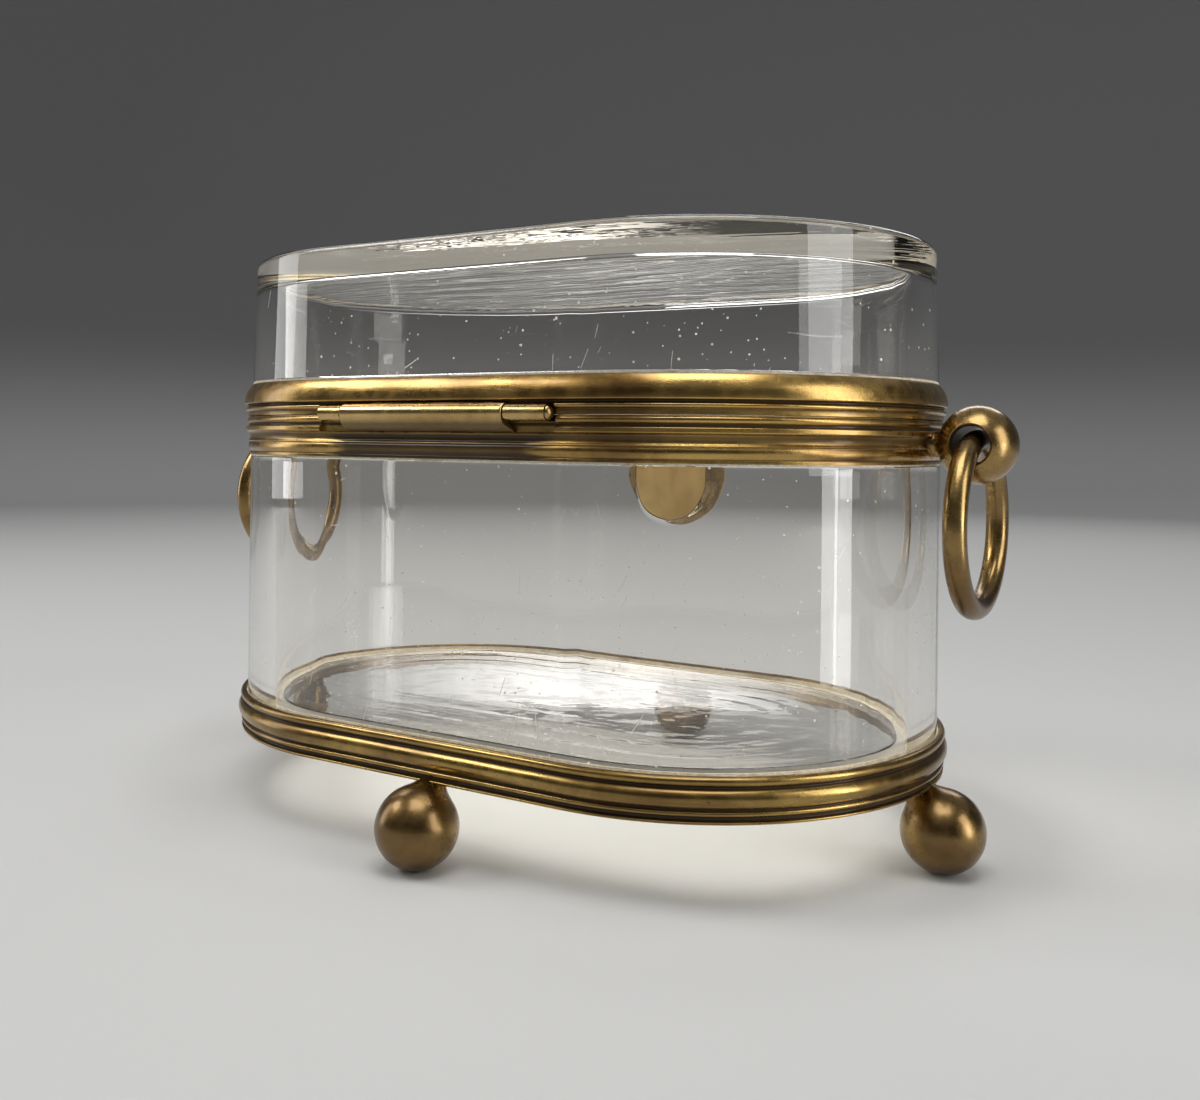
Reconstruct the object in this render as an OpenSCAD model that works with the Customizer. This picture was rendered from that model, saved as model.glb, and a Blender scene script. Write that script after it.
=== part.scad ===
// Oval crystal jewelry box in gilt brass mounts.
// Millimetres, +Z up, long axis along X, lock at the front (-Y), hinge at the back (+Y).
// The origin lies under the centre of the box, on the plane its four ball feet stand on.

/* [Plan] */
// Length of the straight part of each long side
straight_len = 52; // [46:1:60]
// Radius of the round ends, on the outer face of the body glass
glass_r = 42.75; // [38:0.25:46]
// Thickness of the crystal walls
glass_wall = 5; // [4:0.25:6]

/* [Heights] */
// Underside of the base frame above the table
frame_z = 13.6; // [13.6:0.1:18]
// Height of the body, from the underside of the base frame to the closing face
body_h = 59.4; // [50:0.2:75]
// Height of the lid above the closing face
lid_h = 29.6; // [22:0.2:40]
// Thickness of the crystal lid's flat top
lid_top = 5.2; // [4:0.1:8]

/* [Base] */
// Thickness of the bevelled glass bottom
bottom_glass = 4; // [3:0.1:5]
// Width of the brass ledge that the glass stands on, inward from the outer glass face
ledge_w = 6.4; // [6.2:0.1:12]

/* [Feet] */
// Radius of each ball foot
foot_r = 6.8; // [5.5:0.1:6.8]
// How far the foot centres stand out past the outer glass face
foot_out = 2.75; // [1.5:0.05:3.5]

/* [Handles] */
// Radius of the drilled balls that carry the rings
knob_r = 6.3; // [6:0.1:7]
// Radius of the hole through each ball
knob_bore_r = 3; // [2.9:0.05:3.1]
// Radius of the ring's centre line
ring_r = 13.3; // [13:0.1:15]
// Radius of the ring's wire
wire_r = 1.85; // [1.6:0.05:1.9]

/* [Hinge] */
// Length of the whole hinge, over its knuckles
hinge_len = 46.8; // [44:0.2:48]
// Length of the long middle knuckle
middle_knuckle = 33.8; // [30:0.2:34]
// How far the middle knuckle sits to the right of the centre
middle_shift = 1.4; // [0:0.1:1.5]
// Radius of the hinge pin
pin_r = 0.6; // [0.5:0.05:0.7]

/* [Lock] */
// Width of the lock case set into the front wall
case_w = 18; // [14:0.5:20]
// Width of the plate that covers the lock outside
plate_w = 25.5; // [23:0.5:28]

/* [Show] */
// Which piece to draw

/* [Hidden] */
$fn = 96;
eps = 0.01;
half = straight_len / 2;

brass = [0.70, 0.54, 0.27];
crystal = [0.86, 0.88, 0.86, 0.35];
cement = [0.86, 0.80, 0.66];

// Radii of the upright faces, all measured from the centre line of the oval.
inner_r = glass_r - glass_wall;
joint = 0.3;                    // thickness of the cement under and over the glass
film = 0.15;                    // thickness of the cement round the glass
rebate = 0.75;                  // how far the glass steps in inside its brass mounts
flange_in_r = inner_r + 0.25;   // inner edge of both collar flanges

// Heights, from the table up.
ledge_t = 2.5;
floor_z = frame_z + ledge_t;               // top of the ledge inside the base frame
frame_top = frame_z + 6.9;
close_z = frame_z + body_h;                // closing face of the body
lid_z = close_z + 0.1;                     // closing face of the lid
body_collar_z = close_z - 7.1;             // lower edge of the body collar
body_glass_top = close_z - 1.8;
lid_glass_z = lid_z + 1.9;
lid_collar_top = lid_z + 6.1;
lid_top_z = lid_z + lid_h;

// Hinge: its pin lies on the closing line, at the back face of the collars.
pin_y = glass_r + 1.15;
pin_z = lid_z + 0.2;
knuckle_r = 1.35;
middle_r = 1.6;
knuckle_gap = 0.25;             // between the knuckles, along the pin
bore_play = 0.05;
hinge_end = hinge_len / 2;
middle_low = middle_shift - middle_knuckle / 2;     // left and right ends of the middle knuckle
middle_high = middle_shift + middle_knuckle / 2;
head_r = 1.15;                  // dome at each end of the pin
head_h = 0.7;
head_room = 1;                  // length of the seats past the outer knuckles
seat_y = pin_y - 1;             // back of the seat cut through the collar
apron_drop = 3;
leaf_t = 0.8;

// Handles: the ball sits on the middle of the body collar.
knob_z = close_z - 3.85;
knob_x = half + glass_r + 7.65;
ring_gap = 0.55;                // over the top of the wire, where it crosses the bore
ring_lift = knob_bore_r - wire_r - ring_gap;
neck_r = 2.3;
knob_stud_r = 1.3;

// Lock, in the middle of the front wall.
case_top = close_z - 1.5;
case_drop = 19.5;
case_back_y = -(inner_r + 0.15);
case_front_y = -glass_r;
notch_play = 0.5;
plate_t = 0.8;
keyhole_z = close_z - 12.5;
keyhole_r = 1.5;
keyhole_drop = 4;

// Catch on the lid, and the slot it drops into.
catch_w = 6;
catch_t = 1.4;
catch_y = glass_r - 2.55;
catch_drop = 5.6;
catch_foot_w = 10;
window_w = 3.2;

// Feet: each stud stands in from the centre of its ball.
stud_in = foot_out + 1.6;
stud_r = 1.2;
stud_h = 1.5;

// ---------- shapes shared by the pieces ----------

// Plan outline of the box whose round ends have radius r.
module oval(r) {
    square([straight_len, 2 * r], center = true);
    for (side = [-1, 1])
        translate([side * half, 0])
            circle(r);
}

// Upright oval wall between two radii.
module oval_wall(r_out, r_in, z_low, z_high) {
    translate([0, 0, z_low])
        linear_extrude(z_high - z_low)
            difference() {
                oval(r_out);
                oval(r_in);
            }
}

// Carries a profile round the oval: x is the distance out from the centre line, y is the height.
module carried_round() {
    for (turn = [0, 180])
        rotate([0, 0, turn]) {
            translate([half, 0, 0])
                rotate([0, 0, -90])
                    rotate_extrude(angle = 180)
                        children();
            translate([-half, 0, 0])
                rotate([90, 0, 90])
                    linear_extrude(straight_len)
                        children();
        }
}

// Flat band of a profile, from one radius to another and one height to another.
module band(r_in, r_out, z_low, z_high) {
    translate([r_in, z_low])
        square([r_out - r_in, z_high - z_low]);
}

// Round member of a profile.
module round_at(r, z, radius) {
    translate([r, z])
        circle(radius);
}

// Cylinder lying along X between two values of x.
module rod_x(x_low, x_high, y, z, r) {
    translate([x_low, y, z])
        rotate([0, 90, 0])
            cylinder(h = x_high - x_low, r = r);
}

// Both outer knuckles, or room for them, with play at their inner and outer ends.
module outer_knuckles(r, inner_play = 0, outer_play = 0) {
    far = hinge_end + outer_play;
    rod_x(-far, middle_low - knuckle_gap + inner_play, pin_y, pin_z, r);
    rod_x(middle_high + knuckle_gap - inner_play, far, pin_y, pin_z, r);
}

// Block between two corners.
module block(low, high) {
    translate(low)
        cube(high - low);
}

// Outline that hangs down from top_z and ends in a half circle, drawn in X and Z.
module hanging_outline(width, top_z, bottom_z) {
    intersection() {
        union() {
            translate([0, bottom_z + width / 2])
                circle(width / 2);
            translate([-width / 2, bottom_z + width / 2])
                square([width, top_z]);
        }
        translate([-width, bottom_z - 1])
            square([2 * width, top_z - bottom_z + 1]);
    }
}

// Stands an outline drawn in X and Z upright between two values of y.
module upright(y_low, y_high) {
    translate([0, y_high, 0])
        rotate([90, 0, 0])
            linear_extrude(y_high - y_low)
                children();
}

// ---------- base ----------

// Moulded rim and inner ledge of the base frame.
module frame_profile() {
    difference() {
        union() {
            band(glass_r - ledge_w, glass_r + 0.45, frame_z, floor_z);
            band(glass_r + 0.2, glass_r + 0.75, frame_z + 1.3, frame_top - 0.75);
            band(glass_r, glass_r + 1.05, frame_z, frame_z + 0.4);  // thin lower edge
            round_at(glass_r + 0.55, frame_top - 0.75, 0.75);       // top bead
            round_at(glass_r + 0.05, frame_z + 3.65, 1.65);         // broad torus
            round_at(glass_r + 0.75, frame_z + 1.5, 0.4);           // thin fillet
        }
        band(0, glass_r + 0.2, floor_z, frame_top);
    }
}

// Moves a foot out to its place: turn 0 is right, 90 back, 180 left and 270 front.
module at_foot(turn) {
    reach = glass_r + foot_out + (turn % 180 == 0 ? half : 0);
    rotate([0, 0, turn])
        translate([reach, 0, 0])
            children();
}

module base_frame() {
    color(brass)
        difference() {
            carried_round()
                frame_profile();
            for (turn = [0 : 90 : 270])
                at_foot(turn)
                    translate([-stud_in, 0, frame_z - eps])
                        cylinder(h = stud_h + 0.1, r = stud_r);
        }
}

// Loose glass bottom with a bevelled upper edge.
module base_glass() {
    r = inner_r - 0.4;
    bevel = 1.2;
    color(crystal)
        carried_round()
            polygon([
                [0, floor_z],
                [r, floor_z],
                [r, floor_z + bottom_glass - bevel],
                [r - bevel, floor_z + bottom_glass],
                [0, floor_z + bottom_glass]
            ]);
}

// Cement that beds the body glass in the base frame.
module base_bedding() {
    color(cement)
        difference() {
            oval_wall(glass_r + 0.2, inner_r, floor_z, frame_top - 0.5);
            oval_wall(glass_r, inner_r - 1, floor_z + joint, frame_top);
        }
}

// ---------- body ----------

// Seat of the lock through the front wall, drawn in X and Z.
module lock_notch() {
    hanging_outline(case_w + 2 * notch_play, close_z + 1, case_top - case_drop - notch_play);
}

module body_glass() {
    shoulder = body_collar_z - joint;
    color(crystal)
        difference() {
            union() {
                oval_wall(glass_r, inner_r, floor_z + joint, shoulder);
                oval_wall(glass_r - rebate, inner_r, shoulder - eps, body_glass_top);
            }
            upright(-glass_r - 1, -inner_r + 1)
                lock_notch();
        }
}

// Cement between the body glass and its collar, with the line that shows below the brass.
module body_bedding() {
    shoulder = body_collar_z - joint;
    color(cement)
        difference() {
            union() {
                oval_wall(glass_r - rebate + film, flange_in_r, body_collar_z - eps, body_glass_top + joint);
                oval_wall(glass_r - 0.05, glass_r - rebate - 1, shoulder, body_collar_z);
            }
            oval_wall(glass_r - rebate, inner_r - 1, shoulder - 1, body_glass_top);
            upright(-glass_r - 1, -inner_r + 1)
                lock_notch();
        }
}

// Section of the body collar: bead, fillet and ogee over a flange.
module body_collar_profile() {
    wall = glass_r - rebate + film;
    difference() {
        union() {
            band(flange_in_r, glass_r + 0.35, body_glass_top + joint, close_z);
            band(wall, glass_r + 0.1, body_collar_z, body_collar_z + 0.5);
            band(wall, glass_r + 0.85, body_collar_z + 2.5, close_z - 2.65);
            band(wall, glass_r + 0.95, close_z - 2.65, close_z - 1.75);       // fillet
            band(wall, glass_r + 0.35, close_z - 1.8, close_z - 0.5);
            round_at(glass_r - 0.95, body_collar_z + 1.6, 1.4);               // ogee, lower swell
            round_at(glass_r + 0.05, close_z - 0.7, 0.65);                    // bead
        }
        round_at(glass_r + 1.15, close_z - 3.7, 1.05);                        // ogee, upper hollow
        band(0, wall, body_collar_z - 1, body_glass_top + joint);
    }
}

// Slot that the lid's catch drops into.
module catch_slot(z_low) {
    block([-catch_w / 2 - 0.7, -catch_y - catch_t / 2 - 0.8, z_low],
          [catch_w / 2 + 0.7, -catch_y + catch_t / 2 + 0.4, close_z + 1]);
}

module body_collar() {
    color(brass)
        difference() {
            carried_round()
                body_collar_profile();
            // seat of the hinge, cut through bead and fillet
            block([-hinge_end - head_room, seat_y, pin_z - apron_drop],
                  [hinge_end + head_room, seat_y + 5, close_z + 1]);
            rod_x(middle_low - 0.1, middle_high + 0.1, pin_y, pin_z, middle_r + 0.1);
            outer_knuckles(knuckle_r + 0.3, knuckle_gap, head_room);
            // seats of the two handle balls
            for (turn = [0, 180])
                rotate([0, 0, turn]) {
                    block([half + glass_r, -neck_r, knob_z - neck_r],
                          [half + glass_r + 3, neck_r, knob_z + neck_r]);
                    rod_x(half + glass_r - 2, half + glass_r + 0.1, 0, knob_z, knob_stud_r);
                }
            catch_slot(close_z - 3);
        }
}

// ---------- lid ----------

// Section of the lid collar: recess, fillet, groove and a tall swelling ovolo.
module lid_collar_profile() {
    wall = glass_r - rebate;
    ovolo_r = 5.2;
    intersection() {
        union() {
            band(flange_in_r, glass_r + 0.5, lid_z, lid_glass_z - joint);
            band(wall, glass_r + 0.5, lid_z, lid_z + 2.5);
            round_at(glass_r + 0.65, lid_z + 1.35, 0.4);                       // fillet
            intersection() {
                round_at(glass_r + 1.2 - ovolo_r, lid_z + 2.6, ovolo_r);       // ovolo
                band(wall, glass_r + 2, lid_z + 2.2, lid_collar_top);
            }
        }
        band(flange_in_r - 1, glass_r + 2, lid_z, lid_collar_top);
    }
}

module lid_collar() {
    color(brass)
        difference() {
            carried_round()
                lid_collar_profile();
            // room for the knuckles and the leaf
            rod_x(middle_low - 0.2, middle_high + 0.2, pin_y, pin_z, middle_r + 0.3);
            outer_knuckles(knuckle_r + 0.1, 0.15, head_room);
            lid_leaf_plate();
            catch_plate();
        }
}

// Cement between the lid glass and its collar, with the line that shows above the brass.
module lid_bedding() {
    shoulder = lid_collar_top + joint;
    color(cement)
        difference() {
            union() {
                oval_wall(glass_r - rebate, flange_in_r, lid_glass_z - joint, lid_collar_top + eps);
                oval_wall(glass_r - 0.35, glass_r - rebate - 1, lid_collar_top, shoulder);
            }
            oval_wall(glass_r - rebate - film, inner_r - 1, lid_glass_z, shoulder + 1);
        }
}

// One-piece crystal lid: tapered wall, thick flat top, softened upper edge.
module lid_glass() {
    shoulder = lid_collar_top + joint;
    round_r = 1.2;
    top_r = glass_r - 0.95;
    color(crystal)
        difference() {
            carried_round()
                union() {
                    polygon([
                        [0, lid_glass_z],
                        [glass_r - rebate - film, lid_glass_z],
                        [glass_r - rebate - film, shoulder],
                        [glass_r - 0.3, shoulder],
                        [top_r, lid_top_z - round_r],
                        [top_r - round_r, lid_top_z - round_r],
                        [top_r - round_r, lid_top_z],
                        [0, lid_top_z]
                    ]);
                    round_at(top_r - round_r, lid_top_z - round_r, round_r);
                }
            translate([0, 0, lid_glass_z - 1])
                linear_extrude(lid_top_z - lid_top - lid_glass_z + 1)
                    oval(inner_r - 0.3);
        }
}

// ---------- hinge ----------

// Middle knuckle with the curved apron that covers the cut in the body collar.
module hinge_body_leaf() {
    apron_r = 3.25;
    strip_x = -13.2;
    strip_w = 25.5;
    color(brass)
        difference() {
            union() {
                rod_x(middle_low, middle_high, pin_y, pin_z, middle_r);
                intersection() {
                    rod_x(middle_low, middle_high, pin_y - 1.7, pin_z, apron_r);
                    block([-middle_knuckle, seat_y, pin_z - apron_drop],
                          [middle_knuckle, seat_y + 5, pin_z]);
                }
                // bevelled strip along the top of the knuckle
                translate([strip_x, pin_y, pin_z])
                    rotate([90, 0, 90])
                        linear_extrude(strip_w)
                            polygon([[-0.5, 1], [-0.5, 1.7], [0.1, 1.7], [1.3, 0.85], [1, 0.3]]);
            }
            rod_x(-middle_knuckle, middle_knuckle, pin_y, pin_z, pin_r + bore_play);
        }
}

// Plate of the lid leaf, let into the closing face of the lid collar.
module lid_leaf_plate() {
    block([-hinge_end, pin_y - 4.4, lid_z], [hinge_end, pin_y - 2.3, lid_z + leaf_t]);
    block([-hinge_end, pin_y - 3, lid_z], [middle_low - knuckle_gap, pin_y - 0.8, lid_z + leaf_t]);
    block([middle_high + knuckle_gap, pin_y - 3, lid_z], [hinge_end, pin_y - 0.8, lid_z + leaf_t]);
}

module hinge_lid_leaf() {
    color(brass)
        difference() {
            union() {
                outer_knuckles(knuckle_r);
                lid_leaf_plate();
            }
            rod_x(-hinge_end - 1, hinge_end + 1, pin_y, pin_z, pin_r + bore_play);
        }
}

// Pin with a domed head at each end, turned in one piece.
module hinge_pin() {
    head_x = hinge_end + 0.1;
    dome_r = (head_r * head_r + head_h * head_h) / (2 * head_h);
    color(brass)
        translate([0, pin_y, pin_z])
            rotate([0, 90, 0])
                rotate_extrude() {
                    translate([0, -head_x - 0.1])
                        square([pin_r, 2 * head_x + 0.2]);
                    for (end = [-1, 1])
                        intersection() {
                            translate([0, end * (head_x + head_h - dome_r)])
                                circle(dome_r);
                            translate([0, end > 0 ? head_x : -head_x - head_h])
                                square([head_r + 1, head_h]);
                        }
                }
}

// ---------- feet ----------

// Ball foot at the origin of its place, leaning neck towards the frame, stud above.
module foot() {
    lean = atan2(stud_in, frame_z - foot_r);
    color(brass)
        union() {
            translate([0, 0, foot_r])
                sphere(foot_r);
            difference() {
                translate([0, 0, foot_r])
                    rotate([0, -lean, 0])
                        translate([0, 0, 0.6 * foot_r])
                            cylinder(h = 8, r1 = 0.7 * foot_r, r2 = 0.4);
                block([-20, -8, frame_z], [10, 8, frame_z + 20]);
            }
            translate([-stud_in, 0, frame_z - 1])
                cylinder(h = stud_h + 1, r = stud_r);
        }
}

// ---------- handles ----------

// Drilled ball with a neck and a rivet stud, on the right end.
module handle_knob() {
    rim = 0.35;
    mouth = sqrt(knob_r * knob_r - knob_bore_r * knob_bore_r);
    color(brass)
        union() {
            // the ball is turned about its bore, with a softened mouth at each end
            translate([knob_x, 0, knob_z])
                rotate([90, 0, 0])
                    rotate_extrude()
                        difference() {
                            circle(knob_r);
                            translate([-2 * knob_r, -2 * knob_r])
                                square([2 * knob_r + knob_bore_r, 4 * knob_r]);
                            for (end = [-1, 1])
                                polygon([
                                    [knob_bore_r - 1, end * (mouth - 2 * rim)],
                                    [knob_bore_r, end * (mouth - 2 * rim)],
                                    [knob_bore_r + 2 * rim, end * (mouth + rim)],
                                    [knob_bore_r - 1, end * (mouth + rim)]
                                ]);
                        }
            // square shoulder let into the collar, round neck, rivet stud
            block([half + glass_r, -neck_r, knob_z - neck_r],
                  [half + glass_r + 0.9, neck_r, knob_z + neck_r]);
            rod_x(half + glass_r + 0.5, knob_x - knob_r + 1.5, 0, knob_z, neck_r - 0.1);
            rod_x(half + glass_r - 0.5, half + glass_r + 0.5, 0, knob_z, knob_stud_r);
        }
}

// Ring hanging through the right-hand ball.
module ring() {
    color(brass)
        translate([knob_x, 0, knob_z + ring_lift - ring_r])
            rotate([0, 90, 0])
                rotate_extrude()
                    translate([ring_r, 0])
                        circle(wire_r);
}

// ---------- lock ----------

// Keyhole outline, drawn in X and Z.
module keyhole() {
    translate([0, keyhole_z])
        circle(keyhole_r);
    translate([-keyhole_r / 2, keyhole_z - keyhole_drop])
        square([keyhole_r, keyhole_drop]);
}

// Case that fills the notch of the front wall.
module lock_case() {
    color(brass)
        difference() {
            upright(case_front_y, case_back_y)
                hanging_outline(case_w, case_top, case_top - case_drop);
            // stepped in behind the collar, like the glass beside it
            block([-case_w, case_front_y - 1, body_collar_z - joint],
                  [case_w, case_front_y + rebate, close_z]);
            upright(case_front_y - 1, case_front_y + 3)
                keyhole();
            catch_slot(close_z - 7);
        }
}

// Plate over the notch outside, with the keyhole.
module lock_plate() {
    color(brass)
        upright(-glass_r - plate_t, -glass_r)
            difference() {
                hanging_outline(plate_w, body_collar_z - joint - 0.05, case_top - case_drop - 0.7);
                keyhole();
            }
}

// Foot of the catch, let into the closing face of the lid collar.
module catch_plate() {
    block([-catch_foot_w / 2, -catch_y - 1.6, lid_z], [catch_foot_w / 2, -catch_y + 1.8, lid_z + leaf_t]);
}

// Catch on the lid: a tongue with a window for the bolt.
module lid_catch() {
    color(brass)
        difference() {
            union() {
                catch_plate();
                block([-catch_w / 2, -catch_y - catch_t / 2, lid_z - catch_drop],
                      [catch_w / 2, -catch_y + catch_t / 2, lid_z + 0.4]);
            }
            block([-window_w / 2, -catch_y - catch_t, lid_z - catch_drop + 1],
                  [window_w / 2, -catch_y + catch_t, lid_z - catch_drop + 3]);
        }
}

// ---------- the box ----------

base_frame();
base_glass();
base_bedding();
body_glass();
body_bedding();
body_collar();
lid_collar();
lid_bedding();
lid_glass();
hinge_body_leaf();
hinge_lid_leaf();
hinge_pin();
at_foot(270) foot();  // foot_front
at_foot(90) foot();  // foot_back
at_foot(180) foot();  // foot_left
at_foot(0) foot();  // foot_right
rotate([0, 0, 180]) handle_knob();  // handle_knob_left
handle_knob();  // handle_knob_right
rotate([0, 0, 180]) ring();  // ring_left
ring();  // ring_right
lock_case();
lock_plate();
lid_catch();
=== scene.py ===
import math

import bmesh
import bpy
import numpy as np
from mathutils import Matrix, Vector


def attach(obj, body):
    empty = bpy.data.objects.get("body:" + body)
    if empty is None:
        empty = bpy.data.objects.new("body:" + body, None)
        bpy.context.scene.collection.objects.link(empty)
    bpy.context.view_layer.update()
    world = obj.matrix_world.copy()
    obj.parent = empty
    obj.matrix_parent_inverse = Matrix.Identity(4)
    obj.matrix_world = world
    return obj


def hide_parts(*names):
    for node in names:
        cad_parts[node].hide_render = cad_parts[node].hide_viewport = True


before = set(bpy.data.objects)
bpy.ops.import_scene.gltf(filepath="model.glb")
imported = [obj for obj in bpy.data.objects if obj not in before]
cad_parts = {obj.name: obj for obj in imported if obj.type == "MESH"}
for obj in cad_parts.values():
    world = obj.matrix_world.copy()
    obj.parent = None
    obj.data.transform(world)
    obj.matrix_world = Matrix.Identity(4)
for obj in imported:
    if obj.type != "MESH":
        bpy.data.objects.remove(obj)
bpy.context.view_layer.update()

# ---------- sizes of the box, in millimetres ----------

MM = 0.001
HALF = 26.0             # half of the straight part of each long side
GLASS_R = 42.75         # outer face of the body glass, from the centre line
INNER_R = 37.75         # inner face of the body glass
FRAME_Z = 13.6          # underside of the base frame
FLOOR_Z = 16.1          # top of the brass ledge
FRAME_TOP = 20.5        # rim of the base frame
COLLAR_Z = 65.9         # lower edge of the body collar
CLOSE_Z = 73.0          # closing face of the body
LID_Z = 73.1            # closing face of the lid
LID_COLLAR_TOP = 79.2
LID_GLASS_Z = 75.0      # lower edge of the lid's glass
LID_TOP_Z = 102.7       # top of the lid
CEILING_Z = 97.5        # underside of the lid's thick top
FLANGE = 1.5            # thickness of the flange at the closing face
PIN_Y, PIN_Z = 43.9, 73.3               # middle of the hinge pin
HINGE_END = 23.4        # outer end of each outer knuckle
HEAD_ROOM = 1.0         # length of the seats past the knuckles
MIDDLE_LOW, MIDDLE_HIGH = -15.5, 18.3   # ends of the long middle knuckle
KNOB_X, KNOB_Z = 76.4, 69.15            # middle of a drilled ball
KNOB_R, BORE_R = 6.3, 3.0
RING_R, WIRE_R, RING_Z = 13.3, 1.85, 56.45
FOOT_R, FOOT_OUT, STUD_IN = 6.8, 2.75, 4.35
NECK_R = 2.15           # thinnest part of the neck of a foot or of a ball
KNUCKLE_PLAY = 0.15     # room left in the collars past each end of the middle knuckle
SLOT_HALF, SLOT_OUT = 3.7, 41.7     # half width and outer edge of the catch's slot
FINE, BROAD = 0.01, 0.55            # step along a section, and the blur that finds its hollows
ON_SIDE = 0.9999        # a station whose sine is past this is on a straight side
SCRATCH = 0.00007       # half width of a scratch in the glass, in metres

# ---------- surfaces ----------


def spaced(low, high, step):
    """Evenly spaced values from low to high, about one step apart, both ends included."""
    return np.linspace(low, high, max(2, int(round(abs(high - low) / step)) + 1))


def oval_stations(per_end, back, front):
    """Stations once round the oval plan: a half circle at each end and the two straights between.
    Each station is a foot point on the centre line and a direction outwards, so that a point at
    radius r stands at (foot + r cos, r sin). back and front give the places along X of the
    stations on the two straights."""
    turn = np.linspace(-90, 90, per_end + 1)
    back = np.sort(np.asarray(back))[::-1]
    front = np.sort(np.asarray(front))
    foot = np.concatenate([np.full(turn.size, HALF), back, np.full(turn.size, -HALF), front])
    angle = np.radians(np.concatenate([turn, np.full(back.size, 90.0), turn + 180,
                                       np.full(front.size, 270.0)]))
    return foot, np.cos(angle), np.sin(angle)


def straight_places(*jumps, step=3.0):
    """Places along a straight side, about a step apart, with a close pair at each jump."""
    marks = sorted([-HALF, HALF, *jumps])
    places = [spaced(a, b, step)[1:-1] for a, b in zip(marks, marks[1:])]
    pairs = [[j - 0.01, j + 0.01] for j in jumps]
    return np.concatenate([*places, *pairs])


def grid_mesh(name, points, wrap_rows=True, wrap_columns=True, attributes=None):
    """Mesh of a grid of points, rows by columns, in millimetres. Each face joins four neighbours,
    and the grid closes on itself along the rows, the columns or both. An attribute is one
    number for each point."""
    rows, columns = points.shape[:2]
    index = np.arange(rows * columns).reshape(rows, columns)
    if wrap_rows:
        index = np.vstack([index, index[:1]])
    if wrap_columns:
        index = np.hstack([index, index[:, :1]])
    faces = np.stack([index[:-1, :-1], index[:-1, 1:], index[1:, 1:], index[1:, :-1]], axis=-1)
    mesh = bpy.data.meshes.new(name)
    mesh.from_pydata((points.reshape(-1, 3) * MM).tolist(), [], faces.reshape(-1, 4).tolist())
    for word, values in (attributes or {}).items():
        mesh.attributes.new(word, "FLOAT", "POINT").data.foreach_set(
            "value", np.broadcast_to(values, (rows, columns)).astype(np.float32).ravel())
    return mesh


def carried(foot, cos, sin, radius, height):
    """Carries a section round the oval: radius and height are rows by stations, or one column."""
    radius, height, foot = np.broadcast_arrays(radius, height, foot)
    return np.stack([foot + radius * cos, radius * sin, height], axis=-1)


def moulding(z, bands=(), rounds=(), hollows=(), wear=0.07):
    """Outer radius of a moulding at each height. It is the outermost of its bands (radius, low,
    high) and rounds (radius of the centre, height, radius), cut back by its hollows, and then
    blurred over the wear distance, as handling rounds the edges. A broader blur less this one
    says how deep in a hollow each height lies."""
    fine = np.arange(z.min() - 1, z.max() + 1, FINE)
    out = np.full(fine.size, -np.inf)
    for r, low, high in bands:
        out = np.where((fine >= low) & (fine <= high), np.maximum(out, r), out)
    for arcs, sign, pick in ((rounds, 1, np.maximum), (hollows, -1, np.minimum)):
        for r, height, size in arcs:
            reach = np.sqrt(np.clip(size ** 2 - (fine - height) ** 2, 0, None))
            out = np.where(np.abs(fine - height) < size, pick(out, r + sign * reach), out)
    inside = np.isfinite(out)
    out = np.interp(fine, fine[inside], out[inside])
    soft, broad = blurred(out, wear / FINE), blurred(out, BROAD / FINE)
    return np.interp(z, fine, soft), np.interp(z, fine, broad - soft)


def blurred(values, sigma):
    """Gaussian blur of a row of values, its ends carried on."""
    reach = int(4 * sigma)
    weights = np.exp(-0.5 * (np.arange(-reach, reach + 1) / sigma) ** 2)
    return np.convolve(np.pad(values, reach, mode="edge"), weights / weights.sum(), mode="valid")


def eased(x):
    """Smooth step from 0 to 1, half way at nought: 1 / (1 + e to the minus x)."""
    return 1 / (1 + np.exp(-x))


def piece(name, *meshes, body, replaces, slot, material, smooth_below=38):
    """One finished piece riding on its body. Each of its meshes has doubles merged and faces turned
    outwards, and the whole is shaded smooth but for edges sharper than the given angle."""
    whole = bmesh.new()
    for mesh in meshes:
        part = bmesh.new()
        part.from_mesh(mesh)
        bmesh.ops.remove_doubles(part, verts=part.verts, dist=2e-6)
        bmesh.ops.dissolve_degenerate(part, edges=part.edges, dist=1e-7)
        bmesh.ops.recalc_face_normals(part, faces=part.faces)
        part.to_mesh(mesh)
        part.free()
        whole.from_mesh(mesh)
    data, *others = meshes
    for mesh in others:
        bpy.data.meshes.remove(mesh)
    whole.to_mesh(data)
    whole.free()
    data.name = name
    data.polygons.foreach_set("use_smooth", np.ones(len(data.polygons), dtype=bool))
    data.set_sharp_from_angle(angle=math.radians(smooth_below))
    data.materials.append(material)
    made = bpy.data.objects.new(name, data)
    bpy.context.scene.collection.objects.link(made)
    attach(made, body)
    if replaces:
        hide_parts(*replaces)
    return made


# ---------- nodes of the materials ----------


def feed(tree, value, socket):
    """Links a value that is an output to a socket, or else sets the socket to it."""
    if isinstance(value, bpy.types.NodeSocket):
        tree.links.new(value, socket)
    else:
        socket.default_value = value


def fill(tree, node, **inputs):
    """Feeds a node's inputs by name."""
    for key, value in inputs.items():
        feed(tree, value, node.inputs[key.replace("_", " ")])


def add(tree, kind, settings=None, **inputs):
    """Adds a node, sets its settings and feeds its inputs by name."""
    made = tree.nodes.new(kind)
    for key, value in (settings or {}).items():
        setattr(made, key, value)
    fill(tree, made, **inputs)
    return made


def bumped(tree, strength, distance, relief):
    """Normal of a bumpy surface."""
    return add(tree, "ShaderNodeBump", Strength=strength, Distance=distance,
               Height=relief).outputs[0]


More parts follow.
